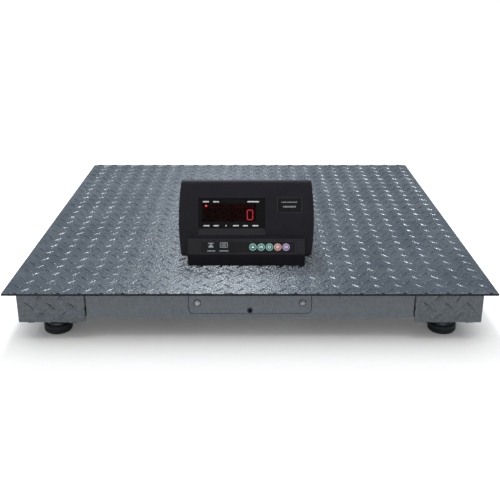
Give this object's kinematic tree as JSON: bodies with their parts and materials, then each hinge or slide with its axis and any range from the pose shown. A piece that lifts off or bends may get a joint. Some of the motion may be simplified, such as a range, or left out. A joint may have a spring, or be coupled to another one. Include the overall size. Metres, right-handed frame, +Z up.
{
  "type": "pallet scale",
  "caption": "Low square tread-plate weighing platform on levelling feet, with corner pockets, a junction cover and a wedge-shaped desk indicator with a red display and round keys.",
  "frame": {"origin": "on the floor, under the middle of the deck", "axes": "+Z up; -Y is the front, where the junction cover and the cable outlet are; +X is to the right as seen from the front"},
  "size_m": [1, 1, 0.2932],
  "materials": {
    "tread_paint": "grey-blue hammertone enamel on tread plate",
    "smooth_paint": "grey-blue semi-gloss enamel on smooth steel",
    "bare_steel": "zinc-plated or nickel-plated steel, lightly worn",
    "rubber": "black rubber, matt",
    "lead_jacket": "dark grey cable jacket, satin",
    "board": "green circuit board with soldered parts",
    "housing": "black ABS with a fine moulded texture",
    "window": "dark red glossy acrylic",
    "digits": "black digit modules with red segments",
    "overlay": "dark grey textured film",
    "key_green": "green-grey key, satin",
    "key_red": "salmon key, satin",
    "key_purple": "purple key, satin",
    "rocker": "black rocker, semi-gloss",
    "battery_case": "dark grey battery case",
    "core_steel": "varnished transformer laminations",
    "tray_steel": "galvanised sheet"
  },
  "bodies": {
    "platform": {"deck_plate": "tread_paint", "front_rail": "smooth_paint", "rear_rail": "smooth_paint", "left_rail": "smooth_paint", "right_rail": "smooth_paint", "pocket_walls": "smooth_paint", "deck_ribs": "smooth_paint", "cell_mount_plates": "smooth_paint", "load_cell_bolts": "bare_steel", "foot_lock_nuts": "bare_steel", "load_cell_leads": "lead_jacket", "junction_cover": "smooth_paint", "junction_cover_screws": "bare_steel", "cable_grommet": "rubber", "junction_tray": "tray_steel", "junction_board": "board", "lead_grommets": "rubber", "corner_front_left": "tread_paint", "load_cell_front_left": "bare_steel", "corner_front_right": "tread_paint", "load_cell_front_right": "bare_steel", "corner_rear_left": "tread_paint", "load_cell_rear_left": "bare_steel", "corner_rear_right": "tread_paint", "load_cell_rear_right": "bare_steel"},
    "ball_front_left": {"foot_ball_front_left": "bare_steel"},
    "stud_front_left": {"foot_stud_front_left": "bare_steel"},
    "pad_front_left": {"foot_pad_front_left": "rubber", "foot_seat_front_left": "bare_steel"},
    "ball_front_right": {"foot_ball_front_right": "bare_steel"},
    "stud_front_right": {"foot_stud_front_right": "bare_steel"},
    "pad_front_right": {"foot_pad_front_right": "rubber", "foot_seat_front_right": "bare_steel"},
    "ball_rear_left": {"foot_ball_rear_left": "bare_steel"},
    "stud_rear_left": {"foot_stud_rear_left": "bare_steel"},
    "pad_rear_left": {"foot_pad_rear_left": "rubber", "foot_seat_rear_left": "bare_steel"},
    "ball_rear_right": {"foot_ball_rear_right": "bare_steel"},
    "stud_rear_right": {"foot_stud_rear_right": "bare_steel"},
    "pad_rear_right": {"foot_pad_rear_right": "rubber", "foot_seat_rear_right": "bare_steel"},
    "indicator": {"indicator_front_shell": "housing", "indicator_rear_shell": "housing", "indicator_feet": "rubber", "housing_screws": "bare_steel", "display_window": "window", "digit_modules": "digits", "main_board": "board", "key_board": "board", "key_overlay": "overlay", "rear_sockets": "bare_steel", "transformer": "core_steel", "battery": "battery_case"},
    "key_1_cap": {"key_1": "key_green"},
    "key_2_cap": {"key_2": "key_green"},
    "key_3_cap": {"key_3": "key_green"},
    "key_4_cap": {"key_4": "key_red"},
    "key_5_cap": {"key_5": "key_purple"},
    "rocker": {"power_rocker": "rocker"},
    "door": {"battery_door": "housing"}
  },
  "joints": [
    {"name": "foot_front_left_height", "type": "slide", "parent": "platform", "child": "ball_front_left", "axis": [0, 0, -1], "range_m": [0, 0.0105]},
    {"name": "foot_front_left_turn", "type": "hinge", "parent": "ball_front_left", "child": "stud_front_left", "pos_m": [-0.414, -0.414, 0.06], "axis": [0, 0, -1], "range_deg": [0, 2160]},
    {"name": "foot_front_left_tilt", "type": "hinge", "parent": "ball_front_left", "child": "pad_front_left", "pos_m": [-0.414, -0.414, 0.021], "axis": [1, 0, 0], "range_deg": [-6, 6]},
    {"name": "foot_front_right_height", "type": "slide", "parent": "platform", "child": "ball_front_right", "axis": [0, 0, -1], "range_m": [0, 0.0105]},
    {"name": "foot_front_right_turn", "type": "hinge", "parent": "ball_front_right", "child": "stud_front_right", "pos_m": [0.414, -0.414, 0.06], "axis": [0, 0, -1], "range_deg": [0, 2160]},
    {"name": "foot_front_right_tilt", "type": "hinge", "parent": "ball_front_right", "child": "pad_front_right", "pos_m": [0.414, -0.414, 0.021], "axis": [1, 0, 0], "range_deg": [-6, 6]},
    {"name": "foot_rear_left_height", "type": "slide", "parent": "platform", "child": "ball_rear_left", "axis": [0, 0, -1], "range_m": [0, 0.0105]},
    {"name": "foot_rear_left_turn", "type": "hinge", "parent": "ball_rear_left", "child": "stud_rear_left", "pos_m": [-0.414, 0.414, 0.06], "axis": [0, 0, -1], "range_deg": [0, 2160]},
    {"name": "foot_rear_left_tilt", "type": "hinge", "parent": "ball_rear_left", "child": "pad_rear_left", "pos_m": [-0.414, 0.414, 0.021], "axis": [1, 0, 0], "range_deg": [-6, 6]},
    {"name": "foot_rear_right_height", "type": "slide", "parent": "platform", "child": "ball_rear_right", "axis": [0, 0, -1], "range_m": [0, 0.0105]},
    {"name": "foot_rear_right_turn", "type": "hinge", "parent": "ball_rear_right", "child": "stud_rear_right", "pos_m": [0.414, 0.414, 0.06], "axis": [0, 0, -1], "range_deg": [0, 2160]},
    {"name": "foot_rear_right_tilt", "type": "hinge", "parent": "ball_rear_right", "child": "pad_rear_right", "pos_m": [0.414, 0.414, 0.021], "axis": [1, 0, 0], "range_deg": [-6, 6]},
    {"name": "indicator_lift", "type": "slide", "parent": "platform", "child": "indicator", "axis": [0, 0, 1], "range_m": [0, 0.25]},
    {"name": "key_1_press", "type": "slide", "parent": "indicator", "child": "key_1_cap", "axis": [0, 0.8192, -0.5736], "range_m": [0, 0.0008], "stiffness_N_per_m": 300, "springref_m": -0.004},
    {"name": "key_2_press", "type": "slide", "parent": "indicator", "child": "key_2_cap", "axis": [0, 0.8192, -0.5736], "range_m": [0, 0.0008], "stiffness_N_per_m": 300, "springref_m": -0.004},
    {"name": "key_3_press", "type": "slide", "parent": "indicator", "child": "key_3_cap", "axis": [0, 0.8192, -0.5736], "range_m": [0, 0.0008], "stiffness_N_per_m": 300, "springref_m": -0.004},
    {"name": "key_4_press", "type": "slide", "parent": "indicator", "child": "key_4_cap", "axis": [0, 0.8192, -0.5736], "range_m": [0, 0.0008], "stiffness_N_per_m": 300, "springref_m": -0.004},
    {"name": "key_5_press", "type": "slide", "parent": "indicator", "child": "key_5_cap", "axis": [0, 0.8192, -0.5736], "range_m": [0, 0.0008], "stiffness_N_per_m": 300, "springref_m": -0.004},
    {"name": "power_rocker_tilt", "type": "hinge", "parent": "indicator", "child": "rocker", "pos_m": [0.092, -0.2215, 0.2195], "axis": [1, 0, 0], "range_deg": [0, 18]},
    {"name": "battery_door_off", "type": "slide", "parent": "indicator", "child": "door", "axis": [0, 1, 0], "range_m": [0, 0.05]}
  ],
  "couplings": [
    {"joint": "foot_front_left_turn", "follows": "foot_front_left_height", "rad_per_m": 3590.4},
    {"joint": "foot_front_right_turn", "follows": "foot_front_right_height", "rad_per_m": 3590.4},
    {"joint": "foot_rear_left_turn", "follows": "foot_rear_left_height", "rad_per_m": 3590.4},
    {"joint": "foot_rear_right_turn", "follows": "foot_rear_right_height", "rad_per_m": 3590.4}
  ]
}
